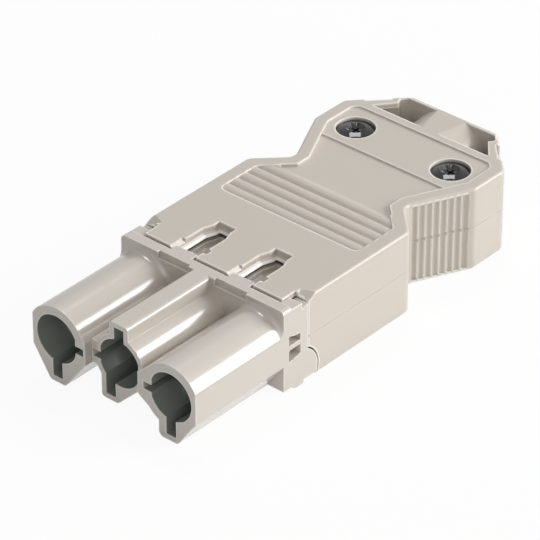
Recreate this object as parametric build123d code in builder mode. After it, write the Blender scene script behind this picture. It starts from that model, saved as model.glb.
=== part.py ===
from build123d import *
import math
import os

# Three-pole installation connector, male half, with a strain-relief housing.
# Millimetres. X runs across the poles, Y from the mating end to the cable
# end, and Z up. The origin is under the middle of the whole connector.

# Overall sizes
HEIGHT = 13.75
TUBE_LENGTH = 17.95
POLE_PITCH = 10.5
TUBE_REACH = 4.5
AXIS_DROP = 6.45
WALL = 1.0
TOP_WALL = 0.85

# Lengths of the body behind the mating face, from front to rear
FLANGE_LENGTH = 5.05
SEAM_GAP = 0.07
FRONT_SIDE = 21.7
SHOULDER = 4.3
WAIST = 1.2
FLANK = 9.2
HIP_SIDE = 6.7
REAR_BEVEL = 7.3

SEAM_Y = FLANGE_LENGTH + SEAM_GAP
SHOULDER_Y = SEAM_Y + FRONT_SIDE
WAIST_START = SHOULDER_Y + SHOULDER
WAIST_END = WAIST_START + WAIST
HIP_Y = WAIST_END + FLANK
BEVEL_Y = HIP_Y + HIP_SIDE
BODY_LENGTH = BEVEL_Y + REAR_BEVEL

WIDTH = 2 * (POLE_PITCH + TUBE_REACH)
LENGTH = TUBE_LENGTH + BODY_LENGTH
FRONT_Y = -LENGTH / 2
FACE_Y = FRONT_Y + TUBE_LENGTH
REAR_Y = LENGTH / 2
HALF_WIDTH = WIDTH / 2
AXIS_Z = HEIGHT - AXIS_DROP
POLES = {"left": -POLE_PITCH, "middle": 0.0, "right": POLE_PITCH}

# Pole tubes
TUBE_RADIUS = 5.15
TUBE_ROOT_RADIUS = 0.9
BORE_RADIUS = 3.75
BORE_FLAT = 3.5
TUBE_SIDE = 6.0
MIDDLE_SETBACK = 1.25
MIDDLE_HALF_WIDTH = 4.3
TUBE_WALL = 0.8
KEY_WIDTH = 1.8
KEY_BOTTOM = 0.95
MIDDLE_KEY_X = -1.7
NOTCH_HEIGHT = 1.2
NOTCH_DEPTH = 1.35
NOTCH_DROP = 0.2
TUBE_FOOT = 0.1
TUBE_SLOPE_DROP = 2.5

# Flange and inner body of the contact housing
FLANGE_BAR = 1.7
FLANGE_RISE = 0.6
FOOT_START = 2.0
FOOT_END = 4.2
EDGE_RADIUS = 0.8
FOOT_RADIUS = 0.4
LID_ROOM = 3.1
CORNER_X = HALF_WIDTH - 2.2
LIP_DROP = 0.4
LIP_REAR = 3.9
STEP_DROP = 0.9
STEP_DEPTH = 1.25
HOOK_RECESS_WIDTH = 5.7
HOOK_RECESS_DEPTH = 0.5
HOOK_RECESS_HEIGHT = 1.0
SIDE_POCKET_DEPTH = 1.2
SIDE_POCKET_START = 1.05
SIDE_POCKET_END = 3.5
UPPER_POCKET_DROP = 4.4
UPPER_POCKET_REAR_DROP = 5.0
UPPER_POCKET_FLOOR = 6.1
LOWER_POCKET_DROP = 6.8
LOWER_POCKET_REAR_FLOOR = 8.3
LOWER_POCKET_FLOOR = 8.8
SHELL_CLEARANCE = 0.5
INNER_HALF_WIDTH = HALF_WIDTH - WALL - SHELL_CLEARANCE
INNER_REAR_WALL = 3.0
INNER_BOTTOM = 1.15
EAR_Y = 3.1
EAR_DROP = 11.9
EAR_RADIUS = 4.0
EAR_THICKNESS = 1.4
EAR_GAP = 0.25

# Windows between the poles
WINDOW_WIDTH = 4.2
WINDOW_END = 11.4
WINDOW_TAPER = 0.55
WINDOW_STEP_Y = 8.6
TONGUE_END = 2.95
TONGUE_GAP = 0.15
FUNNEL_STEP = 0.6
FUNNEL_DEPTH = 0.6
SILL_DROP = 2.1
SILL_END = 11.2
FUNNEL_RIM = 0.5
NICK_WIDTH = 0.6
NICK_LENGTH = 1.9
NOTCH_START = 3.9
NOTCH_END = 5.1

# Contacts, terminals and their screws
PIN_RADIUS = 2.0
PIN_TIP_DEPTH = 7.0
EARTH_PIN_LEAD = 1.5
PIN_IN_TERMINAL = 2.5
TERMINAL_Y = 12.0
TERMINAL_LENGTH = 9.0
TERMINAL_WIDTH = 6.4
TERMINAL_TOP = 4.4
TERMINAL_BOTTOM = 11.2
WIRE_WIDTH = 3.6
WIRE_TOP = 6.4
WIRE_BOTTOM = 10.0
CHAMBER_GAP = 0.1
WIRE_ENTRY_RADIUS = 2.4
TERMINAL_SCREW_RADIUS = 1.5
TERMINAL_HEAD_RADIUS = 2.2
TERMINAL_HEAD_HEIGHT = 1.2
TERMINAL_TRAVEL = 1.6
PLATE_THICKNESS = 0.5
PLATE_LENGTH = 5.0
RUNNING_GAP = 0.05

# Strain-relief housing
PARTING_DROP = AXIS_DROP
PARTING_GAP = 0.02
WAIST_HALF_WIDTH = HALF_WIDTH - 4.4
REAR_HALF_WIDTH = HALF_WIDTH - 7.0
CORNER_RADIUS = 1.4
TOP_EDGE_RADIUS = 0.45
UNDER_EDGE_RADIUS = 0.8
LID_FRONT = 2.35
BEVEL_INNER_Y = 6.0
BEVEL_OUTER_Y = 6.85
HINGE_Y = 3.5
HINGE_DROP = 1.3
TRUNNION_RADIUS = 0.5
TRUNNION_LENGTH = 1.3
HINGE_EAR_THICKNESS = 0.8
HINGE_EAR_RADIUS = 0.8
GRIP_START = SHOULDER_Y - 8.8
GRIP_PITCH = 1.98
GRIP_COUNT = 5
GRIP_DEPTH = 0.45
GRIP_CREST = 0.08
GRIP_MARGIN = 2.3
GRIP_EDGE = 0.25
BORDER = 2.1
FIELD_STEP = 0.25
FIELD_RADIUS = 1.1
WAIST_FIELD_START = GRIP_START + GRIP_COUNT * GRIP_PITCH + 2 * GRIP_EDGE
SCREW_FIELD_START = HIP_Y - 2.4
SIDE_RIB_COUNT = 8
SIDE_RIB_PITCH = 1.13
SIDE_RIB_START = 0.2
SIDE_RIB_RADIUS = 0.62
SIDE_RIB_DEPTH = 0.38
SIDE_RIB_MARGIN = 0.6
POCKET_LENGTH = 5.8
POCKET_START = BODY_LENGTH - POCKET_LENGTH
POCKET_BAND = 1.4
SCREW_FIELD_END = POCKET_START - POCKET_BAND
POCKET_WALL = 0.75
POCKET_INNER = 4.2
POCKET_STEP = 3.05
POCKET_CORNER_RADIUS = 0.5
REAR_BLOCK = 1.0
EDGE_RECESS = 0.6
EDGE_RECESS_HEIGHT = 1.5
RECESS_LENGTH = 4.1
TUNNEL_REAR_RADIUS = 7.0
TUNNEL_FRONT_RADIUS = 6.6
CABLE_RADIUS = 5.3
CLAMP_RIB = 1.2
CLAMP_RIB_PITCH = 2.6
CLAMP_RADIUS = 4.0

# Strain-relief screws
SCREW_X = HALF_WIDTH - 6.15
SCREW_Y = HIP_Y + 2.0
SCREW_BORE_RADIUS = 2.95
SCREW_HEAD_RADIUS = 2.85
SCREW_HEAD_HEIGHT = 2.2
SCREW_HEAD_DROP = 0.3
SCREW_DISH_RADIUS = 2.45
SCREW_DISH_FLOOR = 1.35
SCREW_DISH_DEPTH = 0.7
SCREW_RADIUS = 1.45
SCREW_TRAVEL = 4.0
WASHER_THICKNESS = 0.4
SPIGOT_RADIUS = 3.5
SPIGOT_LENGTH = 1.6
SPIGOT_GAP = 0.3
SEAT_WALL = 0.65
NUT_FLATS = 5.5
NUT_THICKNESS = 2.4
NUT_GAP = 0.05
RECESS_WIDTH = 0.7
RECESS_DEPTH = 1.1


def across(y):
    """Plane across the connector at y, drawn in X and Z; it extrudes towards the mating end."""
    return Plane.XZ.offset(-y)


def along(x):
    """Plane along the connector at x, drawn in Y and Z; it extrudes towards +X."""
    return Plane.YZ.offset(x)


def from_face(distance):
    """Y of a place this far behind the flange's mating face."""
    return FACE_Y + distance


def below_top(drop):
    """Z of a place this far below the top face."""
    return HEIGHT - drop


def outline_points(inset):
    """Half of the strain-relief housing's plan, pulled in by an inset."""
    corners = [
        (HALF_WIDTH, from_face(SEAM_Y)),
        (HALF_WIDTH, from_face(SHOULDER_Y)),
        (WAIST_HALF_WIDTH, from_face(WAIST_START)),
        (WAIST_HALF_WIDTH, from_face(WAIST_END)),
        (HALF_WIDTH, from_face(HIP_Y)),
        (HALF_WIDTH, from_face(BEVEL_Y)),
        (REAR_HALF_WIDTH, REAR_Y),
        (0.0, REAR_Y),
    ]
    moved = []
    for before, corner, after in zip(corners, corners[1:], corners[2:]):
        into = Vector(corner[0] - before[0], corner[1] - before[1]).normalized()
        out = Vector(after[0] - corner[0], after[1] - corner[1]).normalized()
        into_side = Vector(-into.Y, into.X)
        out_side = Vector(-out.Y, out.X)
        reach = inset / (1 + into_side.dot(out_side))
        shift = (into_side + out_side) * reach
        moved.append((corner[0] + shift.X, corner[1] + shift.Y))
    return moved


def housing_plan(inset, front_y):
    """Closed plan of the strain-relief housing from front_y to the cable end."""
    right = [(HALF_WIDTH - inset, front_y)] + outline_points(inset)
    left = [(-x, y) for x, y in reversed(right)]
    with BuildSketch() as plan:
        with BuildLine():
            Polyline(*right, *left, close=True)
        make_face()
        if inset < CORNER_RADIUS:
            rounded = plan.vertices().filter_by(lambda v: v.Y > front_y + 1)
            fillet(rounded, radius=CORNER_RADIUS)
    return plan.sketch


def prism(sketch, bottom, top):
    """Upright prism of a plan between two heights."""
    with BuildPart() as solid:
        with BuildSketch(Plane.XY.offset(bottom)):
            add(sketch)
        extrude(amount=top - bottom)
    return solid.part


def block(x0, x1, y0, y1, z0, z1):
    """Rectangular block between two corners."""
    with BuildPart() as solid:
        with BuildSketch(Plane.XY.offset(z0)):
            with Locations(((x0 + x1) / 2, (y0 + y1) / 2)):
                Rectangle(x1 - x0, y1 - y0)
        extrude(amount=z1 - z0)
    return solid.part


def cylinder_up(x, y, radius, bottom, top):
    """Upright cylinder between two heights."""
    with BuildPart() as solid:
        with BuildSketch(Plane.XY.offset(bottom)):
            with Locations((x, y)):
                Circle(radius)
        extrude(amount=top - bottom)
    return solid.part


def cylinder_along(x, z, radius, start, end):
    """Cylinder along the connector between two places in Y."""
    with BuildPart() as solid:
        with BuildSketch(across(end)):
            with Locations((x, z)):
                Circle(radius)
        extrude(amount=end - start)
    return solid.part


def right_tube_outline():
    """Right tube's outside: round above, a key below, flush with the flange's side."""
    key_side = POLE_PITCH - KEY_WIDTH / 2 - TUBE_WALL - 0.5
    key_far = POLE_PITCH + KEY_WIDTH / 2 + TUBE_WALL - 0.5
    side_low = AXIS_Z - TUBE_SLOPE_DROP
    inner_side = POLE_PITCH - TUBE_SIDE
    with BuildSketch() as outline:
        with Locations((POLE_PITCH, AXIS_Z)):
            Circle(TUBE_RADIUS)
        with BuildLine():
            Polyline(
                (inner_side, AXIS_Z + 1.5),
                (POLE_PITCH - 3.2, AXIS_Z + 3.97),
                (POLE_PITCH, AXIS_Z),
                (POLE_PITCH - 3.8, AXIS_Z - 3.4),
                (inner_side, AXIS_Z - 2.0),
                close=True,
            )
        make_face()
        with BuildLine():
            Polyline(
                (key_side, AXIS_Z),
                (key_side, TUBE_FOOT),
                (key_far, TUBE_FOOT),
                (HALF_WIDTH, side_low),
                (HALF_WIDTH, AXIS_Z),
                close=True,
            )
        make_face()
        with Locations((HALF_WIDTH + TUBE_RADIUS, AXIS_Z)):
            Rectangle(2 * TUBE_RADIUS, 3 * TUBE_RADIUS, mode=Mode.SUBTRACT)
        feet = outline.vertices().filter_by(lambda v: v.Y < TUBE_FOOT + 0.01)
        fillet(feet, radius=EDGE_RADIUS)
    return outline.sketch


def left_tube_outline():
    """Left tube's outside: as the right one, but with a long slope towards the middle."""
    key_far = -POLE_PITCH - KEY_WIDTH / 2 - TUBE_WALL + 0.3
    key_side = -POLE_PITCH + KEY_WIDTH / 2 + TUBE_WALL - 0.3
    side_low = AXIS_Z - TUBE_SLOPE_DROP
    inner_side = -POLE_PITCH + 5.3
    with BuildSketch() as outline:
        with Locations((-POLE_PITCH, AXIS_Z)):
            Circle(TUBE_RADIUS)
        with BuildLine():
            Polyline(
                (inner_side, AXIS_Z + 1.6),
                (-POLE_PITCH + 3.2, AXIS_Z + 3.97),
                (-POLE_PITCH, AXIS_Z),
                (-HALF_WIDTH, AXIS_Z),
                (-HALF_WIDTH, side_low),
                (key_far, TUBE_FOOT),
                (key_side, TUBE_FOOT),
                (inner_side, AXIS_Z - 2.1),
                close=True,
            )
        make_face()
        with Locations((-HALF_WIDTH - TUBE_RADIUS, AXIS_Z)):
            Rectangle(2 * TUBE_RADIUS, 3 * TUBE_RADIUS, mode=Mode.SUBTRACT)
        feet = outline.vertices().filter_by(lambda v: v.Y < TUBE_FOOT + 0.01)
        fillet(feet, radius=EDGE_RADIUS)
    return outline.sketch


def middle_tube_outline():
    """Middle tube's outside: round, with a key above, flush with the top face, and one below."""
    top_key = KEY_WIDTH / 2 + TUBE_WALL
    low_key = MIDDLE_KEY_X - KEY_WIDTH / 2 - TUBE_WALL
    key_end = MIDDLE_KEY_X + KEY_WIDTH / 2 + TUBE_WALL / 2
    foot = KEY_BOTTOM - TUBE_WALL / 2
    web = MIDDLE_HALF_WIDTH + TUBE_WALL
    with BuildSketch() as outline:
        with Locations((0, AXIS_Z)):
            Circle(BORE_RADIUS + TUBE_WALL)
        with Locations((0, (AXIS_Z + HEIGHT) / 2)):
            Rectangle(2 * top_key, HEIGHT - AXIS_Z)
        with BuildLine():
            Polyline(
                (low_key, AXIS_Z),
                (low_key, foot),
                (key_end, foot),
                (MIDDLE_HALF_WIDTH - TUBE_WALL, AXIS_Z - BORE_RADIUS + TUBE_WALL),
                (web, AXIS_Z - 2.2),
                (web, AXIS_Z + 0.4),
                (0, AXIS_Z + 0.4),
                close=True,
            )
        make_face()
        with BuildLine():
            Polyline((-web, AXIS_Z - 1.9), (-web, AXIS_Z + 1.9), (0, AXIS_Z + 1.9),
                     (0, AXIS_Z - 1.9), close=True)
        make_face()
        feet = outline.vertices().filter_by(lambda v: v.Y < foot + 0.01 or v.Y > HEIGHT - 0.01)
        fillet(feet, radius=EDGE_RADIUS * 0.7)
    return outline.sketch


def outer_bore(side):
    """Bore of an outer tube; side is -1 on the left and 1 on the right."""
    centre = side * POLE_PITCH
    flat = centre - side * (BORE_FLAT + BORE_RADIUS)
    notch = centre - side * (BORE_FLAT + NOTCH_DEPTH / 2)
    slot_top = AXIS_Z
    slot_bottom = KEY_BOTTOM
    with BuildSketch() as bore:
        with Locations((centre, AXIS_Z)):
            Circle(BORE_RADIUS)
        with Locations((flat, AXIS_Z)):
            Rectangle(2 * BORE_RADIUS, 3 * BORE_RADIUS, mode=Mode.SUBTRACT)
        with Locations((notch, AXIS_Z - NOTCH_DROP)):
            Rectangle(NOTCH_DEPTH + 0.2, NOTCH_HEIGHT)
        with Locations((centre, (slot_top + slot_bottom) / 2)):
            Rectangle(KEY_WIDTH, slot_top - slot_bottom)
    return bore.sketch


def middle_bore():
    """Bore of the middle tube, with a key slot above, one below and a slot to the left."""
    slot_high = HEIGHT - TUBE_WALL
    slot_low = KEY_BOTTOM + 0.35
    with BuildSketch() as bore:
        with Locations((0, AXIS_Z)):
            Circle(BORE_RADIUS)
        for side in (-1, 1):
            with Locations((side * (BORE_FLAT + BORE_RADIUS), AXIS_Z)):
                Rectangle(2 * BORE_RADIUS, 3 * BORE_RADIUS, mode=Mode.SUBTRACT)
        with Locations((0, (AXIS_Z + slot_high) / 2)):
            Rectangle(KEY_WIDTH, slot_high - AXIS_Z)
        with Locations((MIDDLE_KEY_X, (AXIS_Z + slot_low) / 2)):
            Rectangle(KEY_WIDTH, AXIS_Z - slot_low)
        with Locations((-BORE_FLAT - NOTCH_DEPTH / 2, AXIS_Z - NOTCH_DROP)):
            Rectangle(NOTCH_DEPTH + 0.2, NOTCH_HEIGHT)
    return bore.sketch


def window_plan(centre, grow, front_y):
    """Plan of a window between two poles, narrower towards its rear end."""
    half = WINDOW_WIDTH / 2 + grow
    rear = from_face(WINDOW_END) + grow
    step = from_face(WINDOW_STEP_Y)
    with BuildSketch() as plan:
        with BuildLine():
            Polyline(
                (centre - half, front_y),
                (centre + half, front_y),
                (centre + half, step),
                (centre + half - WINDOW_TAPER, step + 1.6),
                (centre + half - WINDOW_TAPER, rear),
                (centre - half + WINDOW_TAPER, rear),
                (centre - half + WINDOW_TAPER, step + 1.6),
                (centre - half, step),
                close=True,
            )
        make_face()
    return plan.sketch


def window_centres():
    """X of the two windows, one between each pair of poles."""
    return (-POLE_PITCH / 2, POLE_PITCH / 2)


def make_contact_housing():
    """One moulding: three tubes, the flange, its ears and the terminal chambers."""
    flange_rear = from_face(FLANGE_LENGTH)
    bar_rear = from_face(FLANGE_BAR)
    inner_rear = from_face(TERMINAL_Y + TERMINAL_LENGTH + INNER_REAR_WALL)
    middle_front = FRONT_Y + MIDDLE_SETBACK
    body_top = below_top(LID_ROOM)
    with BuildPart() as contact_housing:
        add(make_flange(flange_rear))
        for side in (-1, 1):
            flange_ear(side)
        for outline in (left_tube_outline(), right_tube_outline()):
            tube(outline, bar_rear, FRONT_Y)
        root_fillets(contact_housing)
        tube(middle_tube_outline(), bar_rear, middle_front)
        clear = CORNER_X - RUNNING_GAP
        add(block(-clear, clear, bar_rear, flange_rear + 0.5, body_top, HEIGHT + 1), mode=Mode.SUBTRACT)
        inner_x = INNER_HALF_WIDTH
        add(block(-inner_x, inner_x, flange_rear - 1, inner_rear, INNER_BOTTOM, body_top))
        window_sills(bar_rear - 0.5, body_top - 1)
        corner_cuts(flange_rear)
        flange_recesses()
        tube_bores(middle_front)
        terminal_chambers(inner_rear, body_top)
        window_wells()
    return contact_housing.part


def make_flange(flange_rear):
    """Block behind the mating face, with rounded edges along its sides."""
    with BuildPart() as flange:
        add(block(-HALF_WIDTH, HALF_WIDTH, FACE_Y, flange_rear, FLANGE_RISE, HEIGHT))
        long_edges = flange.edges().filter_by(Axis.Y)
        fillet(long_edges.group_by(Axis.Z)[-1], radius=EDGE_RADIUS)
        fillet(long_edges.group_by(Axis.Z)[0], radius=FOOT_RADIUS)
    return flange.part


def flange_ear(side):
    """Round ear behind the flange's lower corner, with a small foot under it."""
    ear_x = side * (HALF_WIDTH - EAR_THICKNESS / 2)
    centre = from_face(EAR_Y)
    with BuildSketch(along(ear_x)) as shape:
        with Locations((centre, below_top(EAR_DROP))):
            Circle(EAR_RADIUS)
        with Locations((centre, FLANGE_RISE - EAR_RADIUS)):
            Rectangle(3 * EAR_RADIUS, 2 * EAR_RADIUS, mode=Mode.SUBTRACT)
        with Locations((FACE_Y - EAR_RADIUS, below_top(EAR_DROP))):
            Rectangle(2 * EAR_RADIUS, 3 * EAR_RADIUS, mode=Mode.SUBTRACT)
        with Locations((from_face((FOOT_START + FOOT_END) / 2), FLANGE_RISE)):
            RectangleRounded(FOOT_END - FOOT_START, 2 * FLANGE_RISE, FLANGE_RISE * 0.9)
    extrude(shape.sketch, amount=EAR_THICKNESS / 2, both=True)


def tube(outline, rear, front):
    """Solid tube of this outline between its root and its mating end."""
    with BuildSketch(across(rear)) as shape:
        add(outline)
    extrude(shape.sketch, amount=rear - front)


def window_sills(front, low):
    """Tongues that close the windows at the flange, with a sill behind each of them."""
    half = WINDOW_WIDTH / 2 - TONGUE_GAP
    for centre in window_centres():
        add(block(centre - half, centre + half, front, from_face(TONGUE_END), low, HEIGHT))
        add(block(centre - half, centre + half, front, from_face(SILL_END), low, below_top(SILL_DROP)))


def root_fillets(housing):
    """Round the roots of the outer tubes where they meet the flange's face."""
    roots = (
        housing.edges()
        .filter_by(GeomType.CIRCLE)
        .filter_by(lambda e: abs(e.center().Y - FACE_Y) < 0.01 and abs(e.radius - TUBE_RADIUS) < 0.01)
        .filter_by(lambda e: e.center().Z > AXIS_Z + 1)
    )
    fillet(roots, radius=TUBE_ROOT_RADIUS)


def corner_cuts(flange_rear):
    """Lower the flange's top corners behind the bar and bore them for the lid's trunnions."""
    for side in (-1, 1):
        inner = side * (CORNER_X - 0.3)
        outer = side * (HALF_WIDTH + 1)
        low, high = min(inner, outer), max(inner, outer)
        add(block(low, high, from_face(FLANGE_BAR), from_face(LIP_REAR),
                  below_top(LIP_DROP), HEIGHT + 1), mode=Mode.SUBTRACT)
        with BuildSketch(along(low)) as shape:
            with BuildLine():
                Polyline(
                    (from_face(LIP_REAR) - 0.1, below_top(LIP_DROP) + 1),
                    (from_face(LIP_REAR) - 0.1, below_top(STEP_DEPTH)),
                    (from_face(LIP_REAR) + 0.1, below_top(STEP_DEPTH)),
                    (flange_rear + 0.1, below_top(STEP_DROP)),
                    (flange_rear + 0.1, below_top(LIP_DROP) + 1),
                    close=True,
                )
            make_face()
        extrude(shape.sketch, amount=high - low, mode=Mode.SUBTRACT)
        with BuildSketch(along(side * (CORNER_X - 0.2))) as shape:
            with Locations((from_face(HINGE_Y), below_top(HINGE_DROP))):
                Circle(TRUNNION_RADIUS + RUNNING_GAP)
        reach = TRUNNION_LENGTH + 0.4
        extrude(shape.sketch, amount=reach if side > 0 else -reach, mode=Mode.SUBTRACT)


def flange_recesses():
    """Hook recesses at the front of the flange's top and the pockets in its sides."""
    for centre in window_centres():
        half = HOOK_RECESS_WIDTH / 2
        add(block(centre - half, centre + half, FACE_Y - 0.01, from_face(HOOK_RECESS_DEPTH),
                  below_top(HOOK_RECESS_HEIGHT), HEIGHT + 1), mode=Mode.SUBTRACT)
    for side in (-1, 1):
        start = side * (HALF_WIDTH - SIDE_POCKET_DEPTH)
        with BuildSketch(along(start)) as shape:
            add(side_pocket_plan(from_face(SIDE_POCKET_START), from_face(SIDE_POCKET_END)))
        extrude(shape.sketch, amount=side * (SIDE_POCKET_DEPTH + 0.5), mode=Mode.SUBTRACT)


def side_pocket_plan(front, rear):
    """Outline of the two pockets in a side of the flange, the upper one with a curved top."""
    high_front = below_top(UPPER_POCKET_DROP)
    high_rear = below_top(UPPER_POCKET_REAR_DROP)
    sag = ((front + rear) / 2, (high_front + high_rear) / 2 - 0.15)
    with BuildSketch() as pockets:
        with BuildLine():
            Polyline((front, high_front), (front, below_top(UPPER_POCKET_FLOOR)),
                     (rear, below_top(UPPER_POCKET_FLOOR)), (rear, high_rear))
            ThreePointArc((rear, high_rear), sag, (front, high_front))
        make_face()
        with BuildLine():
            Polyline((front, below_top(LOWER_POCKET_DROP)), (rear, below_top(LOWER_POCKET_DROP)),
                     (rear, below_top(LOWER_POCKET_REAR_FLOOR)),
                     (front, below_top(LOWER_POCKET_FLOOR)), close=True)
        make_face()
    return pockets.sketch


def tube_bores(middle_front):
    """Open the three tubes from the mating end to the flange's face."""
    for bore, front in (
        (outer_bore(-1), FRONT_Y),
        (outer_bore(1), FRONT_Y),
        (middle_bore(), middle_front),
    ):
        with BuildSketch(across(FACE_Y)) as shape:
            add(bore)
        extrude(shape.sketch, amount=FACE_Y - front + 1, mode=Mode.SUBTRACT)


def terminal_chambers(inner_rear, body_top):
    """Chambers open at the top for the terminals, with a hole for each pin and each wire."""
    half = TERMINAL_WIDTH / 2 + CHAMBER_GAP
    front = from_face(TERMINAL_Y) - CHAMBER_GAP
    rear = from_face(TERMINAL_Y + TERMINAL_LENGTH) + CHAMBER_GAP
    wire_z = below_top((WIRE_TOP + WIRE_BOTTOM) / 2)
    for x in POLES.values():
        add(block(x - half, x + half, front, rear, below_top(TERMINAL_BOTTOM), body_top + 1),
            mode=Mode.SUBTRACT)
        add(cylinder_along(x, AXIS_Z, PIN_RADIUS + RUNNING_GAP, FACE_Y - 0.5, front + 0.5),
            mode=Mode.SUBTRACT)
        add(cylinder_along(x, wire_z, WIRE_ENTRY_RADIUS, rear - 0.5, inner_rear + 0.5),
            mode=Mode.SUBTRACT)


def window_wells():
    """Wells in the sills under the lid's windows."""
    for centre in window_centres():
        with BuildSketch(Plane.XY.offset(below_top(SILL_DROP) + 0.01)) as well:
            add(window_plan(centre, -FUNNEL_STEP, from_face(TONGUE_END) + FUNNEL_STEP))
        extrude(well.sketch, amount=-FUNNEL_DEPTH, mode=Mode.SUBTRACT)


def make_pin(x, lead):
    """Round contact pin with a rounded tip, seated in the front of its terminal."""
    tip = FRONT_Y + PIN_TIP_DEPTH - lead
    root = from_face(TERMINAL_Y + PIN_IN_TERMINAL)
    with BuildPart() as contact_pin:
        with BuildSketch(across(root)):
            with Locations((x, AXIS_Z)):
                Circle(PIN_RADIUS)
        extrude(amount=root - tip)
        tip_edge = contact_pin.edges().filter_by(GeomType.CIRCLE).sort_by(Axis.Y)[0]
        fillet(tip_edge, radius=PIN_RADIUS * 0.45)
    return contact_pin.part


def make_terminal(x):
    """Brass terminal block with a wire hole, a pin socket and a threaded top."""
    front = from_face(TERMINAL_Y)
    rear = front + TERMINAL_LENGTH
    half = TERMINAL_WIDTH / 2
    wire_front = front + PIN_IN_TERMINAL + 0.8
    with BuildPart() as terminal:
        add(block(x - half, x + half, front, rear, below_top(TERMINAL_BOTTOM), below_top(TERMINAL_TOP)))
        add(block(x - WIRE_WIDTH / 2, x + WIRE_WIDTH / 2, wire_front, rear + 1,
                  below_top(WIRE_BOTTOM), below_top(WIRE_TOP)), mode=Mode.SUBTRACT)
        add(cylinder_along(x, AXIS_Z, PIN_RADIUS, front - 1, front + PIN_IN_TERMINAL), mode=Mode.SUBTRACT)
        add(cylinder_up(x, terminal_screw_y(), TERMINAL_SCREW_RADIUS + RUNNING_GAP,
                        below_top(WIRE_TOP) - 0.5, below_top(TERMINAL_TOP) + 1), mode=Mode.SUBTRACT)
    return terminal.part


def terminal_screw_y():
    """Y of the terminal screws, over the middle of the wire hole."""
    return from_face(TERMINAL_Y + PIN_IN_TERMINAL + 0.8 + PLATE_LENGTH / 2 + 0.1)


def make_terminal_screw(x):
    """Slotted terminal screw, backed off, with its tip on the pressure plate."""
    y = terminal_screw_y()
    head_low = below_top(TERMINAL_TOP) + TERMINAL_TRAVEL
    head_top = head_low + TERMINAL_HEAD_HEIGHT
    tip = below_top(WIRE_TOP + 0.1)
    with BuildPart() as terminal_screw:
        add(cylinder_up(x, y, TERMINAL_HEAD_RADIUS, head_low, head_top))
        add(cylinder_up(x, y, TERMINAL_SCREW_RADIUS, tip, head_low))
        slot = TERMINAL_HEAD_RADIUS + 0.5
        add(block(x - slot, x + slot, y - 0.35, y + 0.35, head_top - 0.6, head_top + 0.5), mode=Mode.SUBTRACT)
    return terminal_screw.part


def make_pressure_plate(x):
    """Plate that the terminal screw drives down on the wire, with its side lips."""
    y = terminal_screw_y()
    top = below_top(WIRE_TOP + 0.1)
    half = WIRE_WIDTH / 2 - RUNNING_GAP
    with BuildPart() as pressure_plate:
        add(block(x - half, x + half, y - PLATE_LENGTH / 2, y + PLATE_LENGTH / 2, top - PLATE_THICKNESS, top))
        underside = pressure_plate.faces().sort_by(Axis.Z)[0]
        chamfer(underside.edges().filter_by(Axis.X), length=PLATE_THICKNESS * 0.6)
    return pressure_plate.part


def tunnel(bottom, top):
    """Outside of the cable tunnel, a cone along Y that is cut flat above and below."""
    rear = REAR_Y - POCKET_WALL / 2
    front = from_face(POCKET_START)
    with BuildPart() as cone:
        with BuildSketch(across(rear)):
            with Locations((0, AXIS_Z)):
                Circle(TUNNEL_REAR_RADIUS)
        with BuildSketch(across(front)):
            with Locations((0, AXIS_Z)):
                Circle(TUNNEL_FRONT_RADIUS)
        loft()
        add(block(-HALF_WIDTH, HALF_WIDTH, FACE_Y, REAR_Y, bottom, top), mode=Mode.INTERSECT)
    return cone.part


def clamp_ribs(offsets, bottom, top, radius):
    """Thin walls across the cable way, hollowed for the cable."""
    half = SCREW_X - SPIGOT_RADIUS - SPIGOT_GAP - SEAT_WALL + 0.6
    with BuildPart() as ribs:
        for offset in offsets:
            y = from_face(SCREW_Y) + offset
            add(block(-half, half, y - CLAMP_RIB / 2, y + CLAMP_RIB / 2, bottom, top))
        add(cylinder_along(0, AXIS_Z, radius, from_face(HIP_Y) - 6, from_face(BEVEL_Y) + 2),
            mode=Mode.SUBTRACT)
    return ribs.part


def flank_grooves(bottom, top):
    """Upright flutes between the ribs on both flanks."""
    flank = Vector(HALF_WIDTH - WAIST_HALF_WIDTH, HIP_Y - WAIST_END).normalized()
    outward = SIDE_RIB_RADIUS - SIDE_RIB_DEPTH
    with BuildPart() as grooves:
        with BuildSketch(Plane.XY.offset(bottom)):
            for i in range(SIDE_RIB_COUNT):
                reach = SIDE_RIB_START + (i + 0.5) * SIDE_RIB_PITCH
                x = WAIST_HALF_WIDTH + flank.X * reach + flank.Y * outward
                y = from_face(WAIST_END) + flank.Y * reach - flank.X * outward
                with Locations((x, y), (-x, y)):
                    Circle(SIDE_RIB_RADIUS)
        extrude(amount=top - bottom)
    return grooves.part


def field_plan(start, end):
    """Plan of a recessed field of the top face, inside the border, between two places in Y."""
    with BuildSketch() as plan:
        add(housing_plan(BORDER, from_face(SEAM_Y)))
        middle = (from_face(start) + from_face(end)) / 2
        with Locations((0, middle)):
            Rectangle(WIDTH, from_face(end) - from_face(start), mode=Mode.INTERSECT)
        if end > HIP_Y:
            fillet(plan.vertices().filter_by(lambda v: v.Y > from_face(HIP_Y)), radius=FIELD_RADIUS)
    return plan.sketch


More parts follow.
